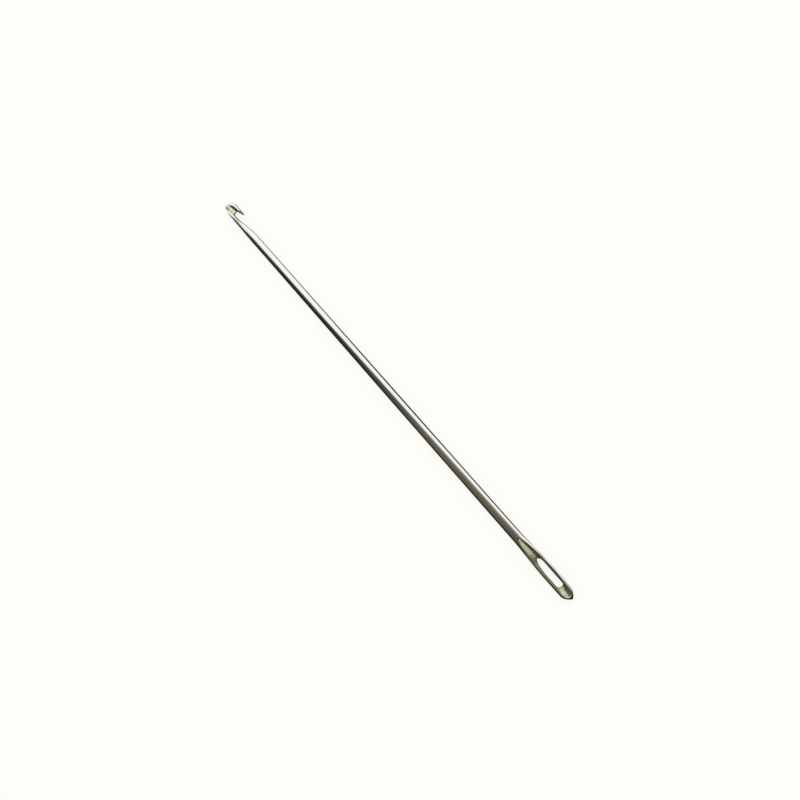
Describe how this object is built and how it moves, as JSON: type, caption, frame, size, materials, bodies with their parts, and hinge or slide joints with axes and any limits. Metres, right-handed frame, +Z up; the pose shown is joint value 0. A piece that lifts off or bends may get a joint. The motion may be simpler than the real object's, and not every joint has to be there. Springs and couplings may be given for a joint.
{
  "type": "locker hook",
  "caption": "Straight plated steel needlework tool with a crochet hook at one end and a large guttered eye at the other, for pulling cord through rug canvas.",
  "frame": {"origin": "below the middle of the tool's footprint, on the surface that it lies on, with its flat faces up and down", "axes": "+X along the tool from the hook to the eye, +Y the side that the hook's mouth opens to, +Z up, which is the way the slot of the eye goes through"},
  "size_m": [0.165, 0.005, 0.0036],
  "materials": {
    "nickel_plated_steel": "bright polished nickel plate on steel wire, slightly warm, with fine drawing and polishing lines"
  },
  "bodies": {
    "root": {"hook_head": "nickel_plated_steel", "shank": "nickel_plated_steel", "eye_head": "nickel_plated_steel"}
  },
  "joints": []
}
